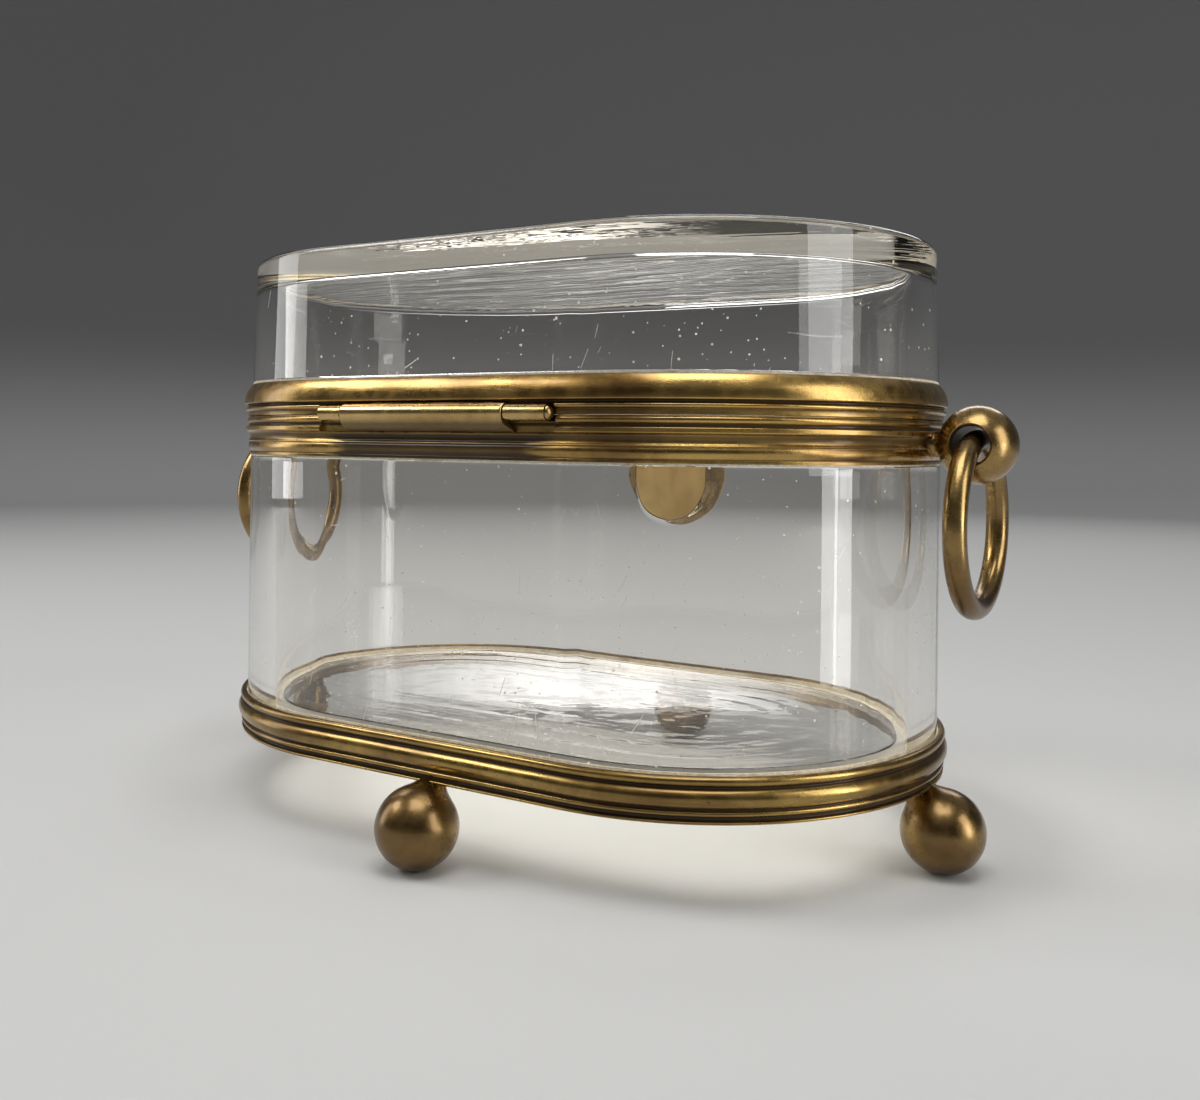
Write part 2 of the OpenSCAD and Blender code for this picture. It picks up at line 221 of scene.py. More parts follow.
def maths(tree, what, a, b=0.0):
    """A Math node of the given operation."""
    made = add(tree, "ShaderNodeMath", {"operation": what})
    for socket, value in zip(made.inputs, (a, b)):
        feed(tree, value, socket)
    return made.outputs[0]


def between(tree, value, low, high, to_low=0.0, to_high=1.0):
    """Takes a value from one range to another, and no further."""
    made = add(tree, "ShaderNodeMapRange", {"interpolation_type": "SMOOTHSTEP"}, Value=value,
               From_Min=low, From_Max=high, To_Min=to_low, To_Max=to_high)
    return made.outputs[0]


def tint(tree, amount, a, b):
    """Mixes two colours."""
    made = add(tree, "ShaderNodeMix", {"data_type": "RGBA"})
    for index, value in ((0, amount), (6, a), (7, b)):
        feed(tree, value, made.inputs[index])
    return made.outputs[2]


def mottle(tree, place, scale, detail=3.0, roughness=0.55, distortion=0.0):
    """Noise at a number of waves to the metre."""
    return add(tree, "ShaderNodeTexNoise", Vector=place, Scale=scale, Detail=detail,
               Roughness=roughness, Distortion=distortion).outputs["Fac"]


def stretched(tree, place, x, y, z, turn=(0.0, 0.0, 0.0)):
    """Coordinates stretched by their own number along each axis."""
    return add(tree, "ShaderNodeMapping", Vector=place, Scale=(x, y, z), Rotation=turn).outputs[0]


def scratches(tree, place, turn, spacing, length, thin):
    """Fine long scratches: noise drawn out along one axis and turned, of which only a narrow line
    counts, where it passes through its middle value."""
    lay = stretched(tree, place, 1 / length, 1 / spacing, 1 / spacing, turn)
    warped = mottle(tree, lay, 1.0, 2.0, 0.5, 0.3)
    lines = maths(tree, "ABSOLUTE", maths(tree, "SUBTRACT", warped, 0.5))
    return between(tree, lines, thin, 0.0)


def vector_of(tree, what, *values):
    """A Vector Math node of the given operation."""
    made = add(tree, "ShaderNodeVectorMath", {"operation": what})
    for socket, value in zip(made.inputs, values):
        feed(tree, value, socket)
    return made.outputs["Value" if what in ("DOT_PRODUCT", "LENGTH") else "Vector"]


def hairlines(tree, place, scale, rare, lean, spread):
    """Short straight scratches, one in each of a few Voronoi cells. A scratch is where the surface
    meets a thin slab through the middle of its cell, and the slab faces the way it leans plus a
    share of the cell's own random direction."""
    cells = add(tree, "ShaderNodeTexVoronoi", Vector=place, Scale=scale)
    own = vector_of(tree, "SUBTRACT", cells.outputs["Color"], (0.5, 0.5, 0.5))
    faced = vector_of(tree, "NORMALIZE", vector_of(tree, "MULTIPLY_ADD", own, (spread,) * 3, lean))
    away = vector_of(tree, "SUBTRACT", place, cells.outputs["Position"])
    off = maths(tree, "ABSOLUTE", vector_of(tree, "DOT_PRODUCT", away, faced))
    chance = add(tree, "ShaderNodeSeparateColor", Color=cells.outputs["Color"]).outputs["Red"]
    near = between(tree, vector_of(tree, "LENGTH", away), 0.30 / scale, 0.20 / scale)
    drawn = maths(tree, "MULTIPLY", near, between(tree, off, SCRATCH, SCRATCH / 2))
    return maths(tree, "MULTIPLY", between(tree, chance, rare, rare + 0.01), drawn)


def attribute(tree, name):
    """A number that the mesh carries at each of its points."""
    return add(tree, "ShaderNodeAttribute", {"attribute_name": name}).outputs["Fac"]


def material(name):
    """A new material with its tree, its shader and its Object coordinates."""
    made = bpy.data.materials.new(name)
    made.use_nodes = True
    tree = made.node_tree
    shader = tree.nodes["Principled BSDF"]
    place = tree.nodes.new("ShaderNodeTexCoord").outputs["Object"]
    return made, tree, shader, place


def gilt_brass(name, gold, brown, satin, rub, tool_marks):
    """Old gilt brass: warm gold where hands rub it, brown in the flats, nearly black in hollows,
    partly grime and partly painted shade, with cloudy tarnish, specks, pits, fine scratches and an
    old clear coat. Grime and painted shade fill the deepest hollows and the marked places under the
    hinge, where the surface turns dull and less metallic. satin is its roughness, rub moves the
    balance of gold and brown, and tool_marks is the strength of the level lines that turning left."""
    made, tree, shader, place = material(name)
    hollow = attribute(tree, "hollow")
    clouds = mottle(tree, place, 45.0, 4.0, 0.55, 0.5)
    blotches = mottle(tree, place, 330.0, 4.0, 0.6)
    along = mottle(tree, stretched(tree, place, 45.0, 45.0, 1400.0), 1.0, 3.0, 0.6)
    specks = mottle(tree, place, 1500.0, 2.0, 0.5)
    rubbed = between(tree, maths(tree, "ADD", clouds, maths(tree, "MULTIPLY", blotches, 0.22)),
                     0.42 - rub, 0.82 - rub)
    colour = tint(tree, rubbed, brown, gold)
    colour = tint(tree, between(tree, along, 0.50, 0.76, 0.0, tool_marks), colour, BLACK)
    # grime and painted shade: nearly black where the mesh's darkening attribute is high, in the
    # hollows and under the hinge
    colour = tint(tree, between(tree, hollow, 0.01, 0.22, 0.0, 0.94), colour, BLACK)
    colour = tint(tree, between(tree, hollow, -0.05, -0.25, 0.0, 0.30), colour, gold)
    colour = tint(tree, between(tree, specks, 0.69, 0.77, 0.0, 0.55), colour, BLACK)
    rough = maths(tree, "ADD", between(tree, blotches, 0.35, 0.68, satin - 0.04, satin + 0.05),
                  between(tree, hollow, 0.03, 0.25, 0.0, 0.40))
    rough = maths(tree, "ADD", rough, between(tree, clouds, 0.40, 0.62, 0.05, -0.02))
    lines = maths(tree, "MAXIMUM",
                  scratches(tree, place, (0.3, 0.1, 0.4), 0.0011, 0.009, 0.03),
                  scratches(tree, place, (-0.5, 0.7, 1.9), 0.0014, 0.012, 0.03))
    wave = mottle(tree, place, 105.0, 2.0, 0.45)
    relief = maths(tree, "SUBTRACT", maths(tree, "MULTIPLY", wave, 0.28),
                   maths(tree, "MULTIPLY", lines, 0.035))
    relief = maths(tree, "SUBTRACT", relief, between(tree, specks, 0.69, 0.79, 0.0, 0.08))
    relief = maths(tree, "ADD", relief, maths(tree, "MULTIPLY", along, 0.03 * tool_marks))
    fill(tree, shader, Base_Color=colour, Roughness=rough, Specular_IOR_Level=0.15,
         Metallic=between(tree, hollow, 0.05, 0.22, 1.0, 0.30), Coat_Weight=0.25,
         Coat_Roughness=0.10, Coat_IOR=1.6, Normal=bumped(tree, 0.30, 0.0004, relief))
    return made


def old_crystal(name):
    """Old clear crystal: a trace of warm grey, dust specks, hair scratches, a faintly uneven face
    and matt ground edges. Lamps shine through it, so its shadow stays light."""
    made, tree, shader, place = material(name)
    cells = add(tree, "ShaderNodeTexVoronoi", Vector=place, Scale=470.0)
    chance = add(tree, "ShaderNodeSeparateColor", Color=cells.outputs["Color"])
    gather = mottle(tree, place, 24.0, 3.0, 0.6)
    size = maths(tree, "MULTIPLY", between(tree, chance.outputs["Red"], 0.20, 1.0),
                 between(tree, gather, 0.30, 0.60, 0.045, 0.12))
    grains = between(tree, maths(tree, "SUBTRACT", cells.outputs["Distance"], size), 0.012, -0.012)
    smear = mottle(tree, place, 60.0, 3.0, 0.6)
    lines = maths(tree, "MAXIMUM", hairlines(tree, place, 100.0, 0.945, (0.0, 0.0, 0.0), 1.0),
                  hairlines(tree, place, 140.0, 0.92, (0.85, 0.1, 0.5), 0.5))
    marks = maths(tree, "MAXIMUM", grains, maths(tree, "MULTIPLY", lines, 0.7))
    matt = maths(tree, "MULTIPLY", maths(tree, "MAXIMUM", marks, attribute(tree, "ground")), 0.75)
    wave = mottle(tree, stretched(tree, place, 150.0, 150.0, 14.0), 1.0, 2.0, 0.45)
    relief = maths(tree, "SUBTRACT", wave, maths(tree, "MULTIPLY", marks, 0.02))
    fill(tree, shader, Transmission_Weight=1.0, IOR=1.51,
         Base_Color=tint(tree, marks, (0.975, 0.970, 0.955, 1), (0.90, 0.88, 0.82, 1)),
         Roughness=maths(tree, "ADD", between(tree, smear, 0.45, 0.75, 0.0, 0.02), matt),
         Metallic=maths(tree, "MULTIPLY", marks, 0.9), Normal=bumped(tree, 0.05, 0.0005, relief))
    depth = add(tree, "ShaderNodeVolumeAbsorption", Color=(0.955, 0.895, 0.76, 1), Density=11.0)
    clear = add(tree, "ShaderNodeBsdfTransparent", Color=(0.94, 0.935, 0.92, 1))
    shadow = tree.nodes.new("ShaderNodeLightPath").outputs["Is Shadow Ray"]
    blend = tree.nodes.new("ShaderNodeMixShader")
    for socket, source in zip(blend.inputs, (shadow, shader.outputs[0], clear.outputs[0])):
        feed(tree, source, socket)
    fill(tree, tree.nodes["Material Output"], Surface=blend.outputs[0], Volume=depth.outputs[0])
    return made


def lime_cement(name):
    """Cream cement, grainy, yellowed and dirty in places."""
    made, tree, shader, place = material(name)
    grain = mottle(tree, place, 1500.0, 4.0, 0.65)
    darkening = mottle(tree, place, 130.0, 4.0, 0.6)
    colour = tint(tree, between(tree, grain, 0.3, 0.7), (0.62, 0.53, 0.38, 1),
                  (0.86, 0.80, 0.66, 1))
    colour = tint(tree, between(tree, darkening, 0.50, 0.72, 0.0, 0.75), colour, (0.34, 0.25, 0.14, 1))
    fill(tree, shader, Base_Color=colour, Roughness=between(tree, grain, 0.3, 0.7, 0.65, 0.9),
         Normal=bumped(tree, 0.6, 0.0001, grain))
    return made


BLACK = (0.034, 0.018, 0.006, 1)        # near black: grime and painted shade in the hollows and under the hinge; also the dark tool lines and specks of the brass
BRASSES = {             # gold, brown, roughness, share rubbed bright and strength of tool marks
    "collar_brass": ((0.55, 0.355, 0.105, 1), (0.200, 0.110, 0.030, 1), 0.26, 0.03, 0.3),
    "frame_brass": ((0.47, 0.310, 0.090, 1), (0.170, 0.098, 0.028, 1), 0.28, -0.03, 0.3),
    "ball_brass": ((0.37, 0.240, 0.082, 1), (0.155, 0.090, 0.032, 1), 0.27, -0.03, 0.0),
    "hinge_brass": ((0.70, 0.50, 0.20, 1), (0.34, 0.215, 0.072, 1), 0.23, 0.04, 0.1),
    # The lock's brass is a lighter copy of the same brass: painted light on the lock case and catch
    "lit_lock_brass": ((0.72, 0.52, 0.22, 1), (0.48, 0.31, 0.12, 1), 0.40, 0.10, 0.0)}
brass = {name: gilt_brass(name, *look) for name, look in BRASSES.items()}
crystal = old_crystal("old_crystal")
cement = lime_cement("lime_cement")


def dress(node, stuff):
    """Gives a node its material."""
    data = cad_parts[node].data
    data.materials.clear()
    data.materials.append(stuff)


# ---------- mouldings ----------


def frame_section():
    """Section of the base frame: thin lower edge, fillet, broad torus and bead outside, then over
    the rim, down its inner face, across the ledge and back under."""
    z = spaced(FRAME_Z, FRAME_TOP, 0.06)
    out, hollow = moulding(
        z,
        bands=[(GLASS_R + 0.45, FRAME_Z, FLOOR_Z), (GLASS_R + 1.05, FRAME_Z, FRAME_Z + 0.4),
               (GLASS_R + 0.75, FRAME_Z + 1.3, FRAME_TOP - 0.75)],
        rounds=[(GLASS_R + 0.55, FRAME_TOP - 0.75, 0.75), (GLASS_R + 0.05, FRAME_Z + 3.65, 1.65),
                (GLASS_R + 0.75, FRAME_Z + 1.5, 0.4)])
    rim, ledge = GLASS_R + 0.22, GLASS_R - 6.4
    back = np.array([[rim + 0.1, FRAME_TOP], [rim, FRAME_TOP - 0.1], [rim, 18.5], [rim, FLOOR_Z],
                     [GLASS_R - 2, FLOOR_Z], [ledge + 0.3, FLOOR_Z], [ledge, FLOOR_Z - 0.3],
                     [ledge, FRAME_Z + 0.3], [ledge + 0.3, FRAME_Z], [GLASS_R - 3, FRAME_Z],
                     [GLASS_R, FRAME_Z]])
    return out, z, hollow, back


def body_collar_section():
    """Section of the body collar: lower swell, hollow, fillet and bead outside, then across the
    closing face, round the flange and down the inner wall."""
    z = spaced(COLLAR_Z, CLOSE_Z, 0.055)
    fillet_low, fillet_high = CLOSE_Z - 2.65, CLOSE_Z - 1.75
    out, hollow = moulding(
        z,
        bands=[(GLASS_R + 0.1, COLLAR_Z, COLLAR_Z + 0.5),
               (GLASS_R + 0.85, COLLAR_Z + 2.5, fillet_low),
               (GLASS_R + 0.95, fillet_low, fillet_high),
               (GLASS_R + 0.35, CLOSE_Z - 1.8, CLOSE_Z)],
        rounds=[(GLASS_R - 0.95, COLLAR_Z + 1.6, 1.4), (GLASS_R + 0.05, CLOSE_Z - 0.7, 0.65)],
        hollows=[(GLASS_R + 1.15, CLOSE_Z - 3.7, 1.05)])
    wall, flange, under = GLASS_R - 0.59, INNER_R + 0.25, CLOSE_Z - FLANGE
    back = np.array([[GLASS_R - 1, CLOSE_Z], [flange + 0.25, CLOSE_Z], [flange, CLOSE_Z - 0.25],
                     [flange, under], [GLASS_R - 2, under], [wall, under], [wall, CLOSE_Z - 4],
                     [wall, COLLAR_Z]])
    return out, z, hollow, back


def lid_collar_section():
    """Section of the lid collar: recess and fillet outside, a groove, and then a tall ovolo, which
    is part of a circle, up to the rim; then down the inner wall and round the flange."""
    low_z, swell, swell_z = LID_Z + 0.05, 5.2, 2.6
    groove_z, groove_soft = 2.2, 0.045
    z = spaced(low_z, LID_COLLAR_TOP, 0.055)
    low = moulding(z, bands=[(GLASS_R + 0.5, LID_Z - 1, LID_Z + groove_z)],
                   rounds=[(GLASS_R + 0.65, LID_Z + 1.35, 0.4)])[0]
    ovolo = GLASS_R - 4.0 + np.sqrt(swell ** 2 - (z - LID_Z - swell_z) ** 2)
    out = low + (ovolo - low) * eased((z - LID_Z - groove_z) / groove_soft)
    hollow = blurred(out, BROAD / (z[1] - z[0])) - out
    wall, flange, shelf = GLASS_R - 0.74, INNER_R + 0.25, LID_GLASS_Z - 0.3
    back = np.array([[wall + 0.1, LID_COLLAR_TOP], [wall, LID_COLLAR_TOP - 0.1],
                     [wall, LID_COLLAR_TOP - 2.2], [wall, shelf], [GLASS_R - 2, shelf],
                     [flange + 0.2, shelf], [flange, shelf - 0.2], [flange, low_z + 0.25],
                     [flange + 0.25, low_z], [GLASS_R - 2, low_z]])
    return out, z, hollow, back


def wavering(foot, cos, sin, seed):
    """Slow unevenness along a hand-finished moulding: a few sines of the place in plan."""
    x, y = foot + GLASS_R * cos, GLASS_R * sin
    return 0.018 * (np.sin(x / 6.1 + seed) * np.cos(y / 7.3 - seed)
                    + 0.6 * np.sin((x + y) / 3.1 + 2 * seed)
                    + 0.4 * np.sin((x - 1.7 * y) / 1.9 + seed))


def carried_moulding(section, stations, seed, cut=None, opened=None, painted_shade=None):
    """A moulding carried round the oval. Its outer face wavers a little and is cut back where cut
    says, its section is opened where opened says, and its hollows are marked for grime and painted
    shade, with painted shade added where the last argument says."""
    foot, cos, sin = stations
    out, z, hollow, back = section
    z_all = np.concatenate([z, back[:, 1]])
    radius = np.concatenate([out, back[:, 0]])[:, None] + np.zeros(foot.size)
    depth = np.concatenate([hollow, np.zeros(len(back))])[:, None]
    radius[:z.size] += wavering(foot, cos, sin, seed) * np.sin(z[:, None] * 2.3 + seed)
    if cut:
        radius[:z.size] = np.minimum(radius[:z.size], cut(foot, sin, z[:, None]))
    if opened:
        radius = opened(foot, sin, z_all[:, None], radius)
    # painted shade added to the darkening of the hollows
    if painted_shade:
        depth = depth + painted_shade(foot, sin, z_all[:, None])
    return grid_mesh("moulding", carried(foot, cos, sin, radius, z_all[:, None]),
                     attributes={"hollow": depth})


def on_hinge(foot, sin):
    """Whether a place lies on the hinge side, between the ends of the hinge's seats."""
    return (sin > ON_SIDE) & (np.abs(foot) < HINGE_END + HEAD_ROOM)


def knuckle_room(foot, z, middle_r, outer_r):
    """Distance out at which the room for the knuckles leaves the metal: a rod along the pin, of
    one radius beside the middle knuckle and another beside the outer ones."""
    by_middle = (foot > MIDDLE_LOW - KNUCKLE_PLAY) & (foot < MIDDLE_HIGH + KNUCKLE_PLAY)
    r = np.where(by_middle, middle_r, outer_r)
    inside = np.abs(z - PIN_Z) < r
    return np.where(inside, PIN_Y - np.sqrt(np.clip(r ** 2 - (z - PIN_Z) ** 2, 0, None)), np.inf)


def body_hinge_cut(foot, sin, z):
    """Seat of the hinge in the body collar: flat behind the apron, hollow behind the knuckles."""
    seat = np.where(z > PIN_Z - 3, PIN_Y - 1, np.inf)
    room = np.minimum(seat, knuckle_room(foot, z, 1.7, 1.65))
    return np.where(on_hinge(foot, sin), room, np.inf)


def lid_hinge_cut(foot, sin, z):
    """Room for the knuckles under the lid collar."""
    return np.where(on_hinge(foot, sin), knuckle_room(foot, z, 1.9, 1.45), np.inf)


def hinge_shade(foot, sin, z):
    """Painted shade on the swell under the hinge, thinning out towards the hinge's ends."""
    along = np.where(sin > ON_SIDE, 0.25, 0) * np.clip((HINGE_END - np.abs(foot)) / 5, 0, 1)
    return along * np.clip((PIN_Z - 3.4 - z) / 0.6, 0, 1)


def slotted(foot, sin, z, radius):
    """Section of the body collar at the lock, where its flange is cut away for the catch."""
    in_slot = (sin < -ON_SIDE) & (np.abs(foot) < SLOT_HALF) & (z > CLOSE_Z - FLANGE - 0.1)
    return np.where(in_slot, np.maximum(radius, SLOT_OUT), radius)


def slot_bar():
    """Bar of the flange on the inner side of the catch's slot: a section with one corner taken
    off, carried along X."""
    outer, inner, low, corner = -39.1, -38.0, CLOSE_Z - FLANGE, 0.2
    section = np.array([[outer, low], [outer, CLOSE_Z], [inner - corner, CLOSE_Z],
                        [inner, CLOSE_Z - corner], [inner, low]])
    x = np.linspace(-SLOT_HALF - 0.02, SLOT_HALF + 0.02, 5)
    rows = np.stack([np.column_stack([np.full(5, at), section]) for at in x])
    ends = [np.tile(row.mean(axis=0), (1, 5, 1)) for row in (rows[0], rows[-1])]
    return grid_mesh("slot_bar", np.concatenate([ends[0], rows, ends[1]]), wrap_rows=False)


plain_side = straight_places(step=2.0)
lock_side = straight_places(-SLOT_HALF, SLOT_HALF, step=2.0)
hinge_side = straight_places(-HINGE_END - HEAD_ROOM, MIDDLE_LOW - KNUCKLE_PLAY,
                             MIDDLE_HIGH + KNUCKLE_PLAY, HINGE_END + HEAD_ROOM, step=2.0)

piece("frame_moulding",
      carried_moulding(frame_section(), oval_stations(144, plain_side, plain_side), 1.3),
      body="case", replaces=["base_frame"], slot="brass", material=brass["frame_brass"])
piece("body_collar_moulding",
      carried_moulding(body_collar_section(), oval_stations(144, hinge_side, lock_side), 2.1,
                       body_hinge_cut, slotted, hinge_shade),
      slot_bar(), body="case", replaces=["body_collar"], slot="brass",
      material=brass["collar_brass"])
piece("lid_collar_moulding",
      carried_moulding(lid_collar_section(), oval_stations(144, hinge_side, plain_side), 0.7,
                       lid_hinge_cut),
      body="lid", replaces=["lid_collar"], slot="brass", material=brass["collar_brass"])

# ---------- crystal ----------

PLATE_R = INNER_R - 0.4     # edge of the glass bottom
PLATE_TOP = FLOOR_Z + 4.0
NOTCH_R, NOTCH_Z = 9.12, 61.0           # half circle cut from the body glass for the lock
GLASS_LOW, SHOULDER_Z, GLASS_TOP = 16.42, 65.58, 71.18  # heights of the body glass


def pulled(foot, cos, sin, z, amount, seed):
    """Faint upright waves of old glass, slowly drifting with height."""
    x, y = foot + GLASS_R * cos, GLASS_R * sin
    return amount * (np.sin(x / 1.35 + 0.04 * z + seed) * np.cos(y / 1.6 - 0.03 * z)
                     + 0.8 * np.sin((x - y) / 2.7 + 0.02 * z - seed)
                     + 0.5 * np.sin((x + 1.3 * y) / 0.9 + seed))


def rippled(x, y, amount):
    """Ripples of a ground and polished face, long along the box and short across it: three waves,
    each bent along its length and swelling and fading from place to place."""
    swell = 0.5 + 0.5 * np.sin(x / 12 - y / 7.5 + 1 + np.sin(y / 5.1))
    fade = 0.5 + 0.5 * np.sin(x / 8.3 + y / 5.7 + 1.5 * np.sin(x / 19))
    return amount * (1.2 * swell * np.sin(1.05 * y + 1.6 * np.sin(x / 9 + y / 17))
                     + 0.9 * fade * np.sin(1.9 * y - x / 7 + 1.8 * np.sin(x / 6.3 + y / 11))
                     + 0.45 * (1 - swell) * np.sin(3.1 * y + x / 2.9 + np.sin(x / 3.7)))


def notch_height(foot, sin, full):
    """Top edge of the glass at each station: full height, but down to a half circle at the lock."""
    inside = (sin < -ON_SIDE) & (np.abs(foot) < NOTCH_R)
    notch = NOTCH_Z - np.sqrt(np.clip(NOTCH_R ** 2 - foot ** 2, 0, None))
    return np.where(inside, notch, full)


def body_glass_piece():
    """Upright oval ring of glass: up the outer face, over the ground shoulder and top, and down
    the inner face. Both faces carry upright waves, and the top drops to the notch at the lock."""
    bend = NOTCH_R * np.sin(np.linspace(-np.pi / 2, np.pi / 2, 57)) * 0.9999
    front = np.concatenate([spaced(-HALF, -NOTCH_R - 0.01, 2.0)[1:], bend,
                            spaced(NOTCH_R + 0.01, HALF, 2.0)[:-1]])
    foot, cos, sin = oval_stations(180, plain_side, front)
    shoulder = notch_height(foot, sin, SHOULDER_Z)
    top = notch_height(foot, sin, GLASS_TOP)
    brim = np.maximum(top, shoulder + 0.014)
    outer, neck, inner = GLASS_R - 0.02, GLASS_R - 0.77, INNER_R
    lower = [(0.3, 0.0), (0.1, 0.08), (0.0, 0.25)]      # rounding of the lower edges: in and up
    share = np.linspace(0, 1, 40)[:, None]
    face = GLASS_LOW + 0.4 + (shoulder - GLASS_LOW - 0.7) * share
    inner_face = (GLASS_LOW + 0.4 + (top - GLASS_LOW - 0.8) * share)[::-1]
    rows = [(outer - step, GLASS_LOW + up) for step, up in lower]
    rows += zip(outer + pulled(foot, cos, sin, face, 0.0022, 0.4), face)
    rows += [(outer - 0.02, shoulder - 0.12), (outer - 0.14, shoulder),
             (neck + 0.02, shoulder + 0.004), (neck, shoulder + 0.01),
             (neck, np.maximum(top - 0.2, shoulder + 0.012)), (neck - 0.2, brim),
             (inner + 0.3, brim), (inner + 0.08, brim - 0.1)]
    rows += zip(inner + pulled(foot, cos, sin, inner_face, 0.0035, 2.2), inner_face)
    rows += [(inner + step, GLASS_LOW + up) for step, up in lower[::-1]]
    radius, height = (np.stack([row[at] + 0 * foot for row in rows]) for at in (0, 1))
    return grid_mesh("body_crystal", carried(foot, cos, sin, radius, height))


def lid_glass_piece():
    """Lid of one piece of glass: outer wall leaning in a little, rounded upper edge, flat top, and
    a cavity with a soft corner and a rippled ceiling."""
    foot, cos, sin = oval_stations(180, plain_side, plain_side)
    inner, bend = INNER_R - 0.3, 0.9            # wall of the cavity and its upper corner
    low, neck, skirt = 75.02, 41.83, 42.43      # lower edge, part in the collar, wall above it
    upper, upper_z, edge = 41.8, 101.5, 1.2     # top of the leaning wall and its rounded edge
    s = np.linspace(0, np.pi / 2, 12)
    cavity = [(r, CEILING_Z) for r in np.linspace(0.0, inner - bend - 0.4, 52)]
    cavity += zip(inner - bend + bend * np.sin(s), CEILING_Z - bend + bend * np.cos(s))
    cavity += zip(np.full(26, inner), np.linspace(CEILING_Z - bend - 0.3, 75.4, 26))
    outside = [(inner + 0.1, low + 0.08), (inner + 0.3, low), (40.0, low), (41.5, low),
               (neck, low + 0.28), (neck, 79.3), (neck, 79.46), (skirt - 0.23, 79.52),
               (skirt, 79.7)]
    outside += zip(np.linspace(skirt, upper, 30), np.linspace(79.9, upper_z, 30))
    outside += zip(upper - edge + edge * np.cos(s[1:]), upper_z + edge * np.sin(s[1:]))
    outside += [(r, LID_TOP_Z) for r in np.linspace(40.2, 0.0, 34)]
    section = np.array(cavity + outside)
    within = (np.arange(len(section)) < len(cavity))[:, None]
    radius, height = (section[:, [at]] + np.zeros(foot.size) for at in (0, 1))
    x, y = foot + radius * cos, radius * sin
    wall = within & (height < CEILING_Z - bend) & (height > 75.5)
    skin = ~within & (height > 80) & (height < upper_z - 0.1)
    for place, amount, seed in ((wall, 0.004, 1.1), (skin, 0.002, 3.0)):
        radius = radius + np.where(place, pulled(foot, cos, sin, height, amount, seed), 0)
    ceiling = within & (height > CEILING_Z - 0.001)
    top = ~within & (height > LID_TOP_Z - 0.001)
    from_wall = np.clip((inner - bend - radius) / 3, 0, 1)
    from_edge = np.clip((40 - radius) / 3, 0, 1)
    height = height + np.where(ceiling, rippled(x / 1.6, y / 1.6, 0.024) * from_wall, 0)
    height = height + np.where(top, (rippled(x + 40, y, 0.004) - 0.009) * from_edge, 0)
    return grid_mesh("lid_crystal", carried(foot, cos, sin, radius, height), wrap_rows=False)


def base_glass_piece():
    """Flat glass bottom with a bevelled upper edge. Its top carries faint rings that follow the
    rim, made of two sines of the distance out, and shallow ripples."""
    foot, cos, sin = oval_stations(120, plain_side, plain_side)
    low, top, edge = FLOOR_Z + 0.02, PLATE_TOP, PLATE_R
    section = [(r, low) for r in np.linspace(0, edge - 0.3, 26)]
    section += [(edge, low + 0.2), (edge, top - 1.35), (edge - 0.12, top - 1.12)]
    section += zip(np.linspace(edge - 0.3, edge - 1.15, 5), np.linspace(top - 0.95, top - 0.08, 5))
    section += [(r, top) for r in np.linspace(edge - 1.35, 0, 60)]
    section = np.array(section)
    radius = section[:, :1] + np.zeros(foot.size)
    x, y = foot + radius * cos, radius * sin
    rings = (0.009 * np.sin(radius * 0.95 + 0.6 * np.sin(x / 11) + 0.3 * np.sin(y / 9))
             + 0.0035 * np.sin(radius * 2.3 + 0.9 * np.sin(x / 13 + 1)))
    waves = rings * np.clip((radius - 6) / 16, 0, 1) + rippled(x / 2, y / 2, 0.0025) - 0.025
    height = section[:, 1:] + np.where(section[:, 1:] > top - 0.001, waves, 0)
    ground = (section[:, :1] > edge - 1.2) & (section[:, 1:] > low + 0.1)
    return grid_mesh("bottom_crystal", carried(foot, cos, sin, radius, height), wrap_rows=False,
                     attributes={"ground": ground})


def plate_cement_ring():
    """Cement pressed into the gap round the glass bottom: it stands against its bevel and rises
    to the wall."""
    foot, cos, sin = oval_stations(120, plain_side, plain_side)
    plate, wall, top = PLATE_R + 0.03, INNER_R - 0.03, PLATE_TOP - 0.15
    section = np.array([[plate, FLOOR_Z + 0.03], [wall, FLOOR_Z + 0.35], [wall, top - 0.05],
                        [wall - 0.09, top], [plate, PLATE_TOP - 0.9]])
    return grid_mesh("plate_cement", carried(foot, cos, sin, section[:, :1], section[:, 1:]))


piece("body_crystal", body_glass_piece(), body="case", replaces=["body_glass"], slot="crystal",
      material=crystal, smooth_below=30)
piece("lid_crystal", lid_glass_piece(), body="lid", replaces=["lid_glass"], slot="crystal",
      material=crystal, smooth_below=30)
piece("bottom_crystal", base_glass_piece(), body="case", replaces=["base_glass"], slot="crystal",
      material=crystal, smooth_below=24)
piece("plate_cement", plate_cement_ring(), body="case", replaces=[], slot="cement", material=cement)

# ---------- turned pieces ----------


def once_round(steps):
    """Angles evenly once round a circle."""
    return np.linspace(0, 2 * np.pi, steps + 1)[:-1]


